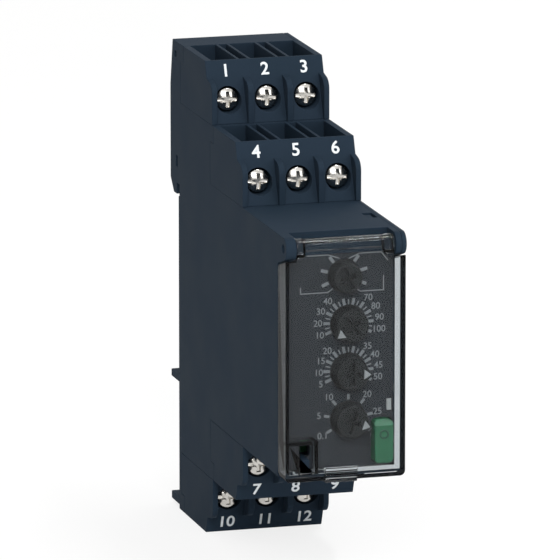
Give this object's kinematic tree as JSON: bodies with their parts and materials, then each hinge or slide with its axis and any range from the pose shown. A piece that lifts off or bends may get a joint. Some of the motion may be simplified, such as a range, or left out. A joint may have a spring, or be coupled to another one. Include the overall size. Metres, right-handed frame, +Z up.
{
  "type": "voltage monitoring relay",
  "caption": "Rail-mounted voltage monitoring relay: a narrow stepped case with screw terminals above and below and setting knobs behind a clear hinged cover.",
  "frame": {"origin": "middle of the width on the plane that rests on the mounting rail, level with the rail's middle", "axes": "+X to the right seen from the front, +Y to the back (into the rail), +Z up"},
  "size_m": [0.0226, 0.0794, 0.0896],
  "materials": {
    "body_plastic": "matt",
    "panel_plastic": "matt",
    "knob_plastic": "satin",
    "button_plastic": "satin",
    "clear_plastic": "gloss",
    "nickel_steel": "satin",
    "zinc_steel": "satin",
    "tin_copper": "satin",
    "board_laminate": "satin",
    "part_plastic": "satin",
    "relay_plastic": "satin",
    "ferrite": "matt",
    "copper_wire": "gloss",
    "can_aluminium": "satin",
    "varistor_coating": "satin",
    "film_plastic": "satin"
  },
  "bodies": {
    "base": {"housing": "body_plastic", "side_cover": "body_plastic", "front_panel": "panel_plastic", "upper_rear_block": "body_plastic", "upper_rear_contacts": "tin_copper", "upper_front_block": "body_plastic", "upper_front_contacts": "tin_copper", "lower_front_block": "body_plastic", "lower_front_contacts": "tin_copper", "lower_rear_block": "body_plastic", "lower_rear_contacts": "tin_copper", "front_board": "board_laminate", "supply_board": "board_laminate", "relay_board": "board_laminate", "board_headers": "part_plastic", "selector_switch": "part_plastic", "potentiometers": "part_plastic", "tact_switch": "part_plastic", "indicator_led": "relay_plastic", "light_pipe": "clear_plastic", "output_relay_1": "relay_plastic", "output_relay_2": "relay_plastic", "transformer_core": "ferrite", "transformer_winding": "copper_wire", "electrolytic_capacitors": "can_aluminium", "film_capacitor": "film_plastic", "varistor": "varistor_coating", "microcontroller": "part_plastic", "clip_spring": "zinc_steel"},
    "cover": {"front_cover": "clear_plastic"},
    "selector": {"selector_knob": "knob_plastic"},
    "upper_setting": {"upper_knob": "knob_plastic"},
    "middle_setting": {"middle_knob": "knob_plastic"},
    "lower_setting": {"lower_knob": "knob_plastic"},
    "button": {"test_button": "button_plastic"},
    "foot": {"din_clip": "part_plastic"},
    "screw_1": {"terminal_screw_1": "nickel_steel"},
    "cage_1": {"clamp_cage_1": "zinc_steel"},
    "screw_2": {"terminal_screw_2": "nickel_steel"},
    "cage_2": {"clamp_cage_2": "zinc_steel"},
    "screw_3": {"terminal_screw_3": "nickel_steel"},
    "cage_3": {"clamp_cage_3": "zinc_steel"},
    "screw_4": {"terminal_screw_4": "nickel_steel"},
    "cage_4": {"clamp_cage_4": "zinc_steel"},
    "screw_5": {"terminal_screw_5": "nickel_steel"},
    "cage_5": {"clamp_cage_5": "zinc_steel"},
    "screw_6": {"terminal_screw_6": "nickel_steel"},
    "cage_6": {"clamp_cage_6": "zinc_steel"},
    "screw_7": {"terminal_screw_7": "nickel_steel"},
    "cage_7": {"clamp_cage_7": "zinc_steel"},
    "screw_8": {"terminal_screw_8": "nickel_steel"},
    "cage_8": {"clamp_cage_8": "zinc_steel"},
    "screw_9": {"terminal_screw_9": "nickel_steel"},
    "cage_9": {"clamp_cage_9": "zinc_steel"},
    "screw_10": {"terminal_screw_10": "nickel_steel"},
    "cage_10": {"clamp_cage_10": "zinc_steel"},
    "screw_11": {"terminal_screw_11": "nickel_steel"},
    "cage_11": {"clamp_cage_11": "zinc_steel"},
    "screw_12": {"terminal_screw_12": "nickel_steel"},
    "cage_12": {"clamp_cage_12": "zinc_steel"}
  },
  "joints": [
    {"name": "cover_hinge", "type": "hinge", "parent": "base", "child": "cover", "pos_m": [0, -0.0715, 0.0203], "axis": [-1, 0, 0], "range_deg": [0, 170]},
    {"name": "selector_turn", "type": "hinge", "parent": "base", "child": "selector", "pos_m": [0.00105, -0.0685, 0.01405], "axis": [0, 1, 0], "range_deg": [0, 225]},
    {"name": "upper_knob_turn", "type": "hinge", "parent": "base", "child": "upper_setting", "pos_m": [0.0019, -0.0685, 0.0052], "axis": [0, 1, 0], "range_deg": [-5, 255]},
    {"name": "middle_knob_turn", "type": "hinge", "parent": "base", "child": "middle_setting", "pos_m": [0.0019, -0.0685, -0.00365], "axis": [0, 1, 0], "range_deg": [-223, 37]},
    {"name": "lower_knob_turn", "type": "hinge", "parent": "base", "child": "lower_setting", "pos_m": [0.0019, -0.0685, -0.0125], "axis": [0, 1, 0], "range_deg": [-238, 22]},
    {"name": "button_press", "type": "slide", "parent": "base", "child": "button", "axis": [0, 1, 0], "range_m": [0, 0.0006], "stiffness_N_per_m": 300, "springref_m": -0.0003},
    {"name": "foot_slide", "type": "slide", "parent": "base", "child": "foot", "axis": [0, 0, -1], "range_m": [0, 0.003], "stiffness_N_per_m": 400, "springref_m": -0.001, "deforming": ["clip_spring"]},
    {"name": "screw_turn_1", "type": "hinge", "parent": "base", "child": "screw_1", "pos_m": [-0.0075, -0.02175, 0.03775], "axis": [0, 1, 0], "range_deg": [0, 2160]},
    {"name": "cage_rise_1", "type": "slide", "parent": "base", "child": "cage_1", "axis": [0, -1, 0], "range_m": [0, 0.003]},
    {"name": "screw_turn_2", "type": "hinge", "parent": "base", "child": "screw_2", "pos_m": [0, -0.02175, 0.03775], "axis": [0, 1, 0], "range_deg": [0, 2160]},
    {"name": "cage_rise_2", "type": "slide", "parent": "base", "child": "cage_2", "axis": [0, -1, 0], "range_m": [0, 0.003]},
    {"name": "screw_turn_3", "type": "hinge", "parent": "base", "child": "screw_3", "pos_m": [0.0075, -0.02175, 0.03775], "axis": [0, 1, 0], "range_deg": [0, 2160]},
    {"name": "cage_rise_3", "type": "slide", "parent": "base", "child": "cage_3", "axis": [0, -1, 0], "range_m": [0, 0.003]},
    {"name": "screw_turn_4", "type": "hinge", "parent": "base", "child": "screw_4", "pos_m": [-0.0075, -0.04255, 0.02655], "axis": [0, 1, 0], "range_deg": [0, 2160]},
    {"name": "cage_rise_4", "type": "slide", "parent": "base", "child": "cage_4", "axis": [0, -1, 0], "range_m": [0, 0.003]},
    {"name": "screw_turn_5", "type": "hinge", "parent": "base", "child": "screw_5", "pos_m": [0, -0.04255, 0.02655], "axis": [0, 1, 0], "range_deg": [0, 2160]},
    {"name": "cage_rise_5", "type": "slide", "parent": "base", "child": "cage_5", "axis": [0, -1, 0], "range_m": [0, 0.003]},
    {"name": "screw_turn_6", "type": "hinge", "parent": "base", "child": "screw_6", "pos_m": [0.0075, -0.04255, 0.02655], "axis": [0, 1, 0], "range_deg": [0, 2160]},
    {"name": "cage_rise_6", "type": "slide", "parent": "base", "child": "cage_6", "axis": [0, -1, 0], "range_m": [0, 0.003]},
    {"name": "screw_turn_7", "type": "hinge", "parent": "base", "child": "screw_7", "pos_m": [-0.0075, -0.04255, -0.02655], "axis": [0, 1, 0], "range_deg": [0, 2160]},
    {"name": "cage_rise_7", "type": "slide", "parent": "base", "child": "cage_7", "axis": [0, -1, 0], "range_m": [0, 0.003]},
    {"name": "screw_turn_8", "type": "hinge", "parent": "base", "child": "screw_8", "pos_m": [0, -0.04255, -0.02655], "axis": [0, 1, 0], "range_deg": [0, 2160]},
    {"name": "cage_rise_8", "type": "slide", "parent": "base", "child": "cage_8", "axis": [0, -1, 0], "range_m": [0, 0.003]},
    {"name": "screw_turn_9", "type": "hinge", "parent": "base", "child": "screw_9", "pos_m": [0.0075, -0.04255, -0.02655], "axis": [0, 1, 0], "range_deg": [0, 2160]},
    {"name": "cage_rise_9", "type": "slide", "parent": "base", "child": "cage_9", "axis": [0, -1, 0], "range_m": [0, 0.003]},
    {"name": "screw_turn_10", "type": "hinge", "parent": "base", "child": "screw_10", "pos_m": [-0.0075, -0.02175, -0.03775], "axis": [0, 1, 0], "range_deg": [0, 2160]},
    {"name": "cage_rise_10", "type": "slide", "parent": "base", "child": "cage_10", "axis": [0, -1, 0], "range_m": [0, 0.003]},
    {"name": "screw_turn_11", "type": "hinge", "parent": "base", "child": "screw_11", "pos_m": [0, -0.02175, -0.03775], "axis": [0, 1, 0], "range_deg": [0, 2160]},
    {"name": "cage_rise_11", "type": "slide", "parent": "base", "child": "cage_11", "axis": [0, -1, 0], "range_m": [0, 0.003]},
    {"name": "screw_turn_12", "type": "hinge", "parent": "base", "child": "screw_12", "pos_m": [0.0075, -0.02175, -0.03775], "axis": [0, 1, 0], "range_deg": [0, 2160]},
    {"name": "cage_rise_12", "type": "slide", "parent": "base", "child": "cage_12", "axis": [0, -1, 0], "range_m": [0, 0.003]}
  ],
  "couplings": [
    {"joint": "screw_turn_1", "follows": "cage_rise_1", "rad_per_m": 12564},
    {"joint": "screw_turn_2", "follows": "cage_rise_2", "rad_per_m": 12564},
    {"joint": "screw_turn_3", "follows": "cage_rise_3", "rad_per_m": 12564},
    {"joint": "screw_turn_4", "follows": "cage_rise_4", "rad_per_m": 12564},
    {"joint": "screw_turn_5", "follows": "cage_rise_5", "rad_per_m": 12564},
    {"joint": "screw_turn_6", "follows": "cage_rise_6", "rad_per_m": 12564},
    {"joint": "screw_turn_7", "follows": "cage_rise_7", "rad_per_m": 12564},
    {"joint": "screw_turn_8", "follows": "cage_rise_8", "rad_per_m": 12564},
    {"joint": "screw_turn_9", "follows": "cage_rise_9", "rad_per_m": 12564},
    {"joint": "screw_turn_10", "follows": "cage_rise_10", "rad_per_m": 12564},
    {"joint": "screw_turn_11", "follows": "cage_rise_11", "rad_per_m": 12564},
    {"joint": "screw_turn_12", "follows": "cage_rise_12", "rad_per_m": 12564}
  ]
}
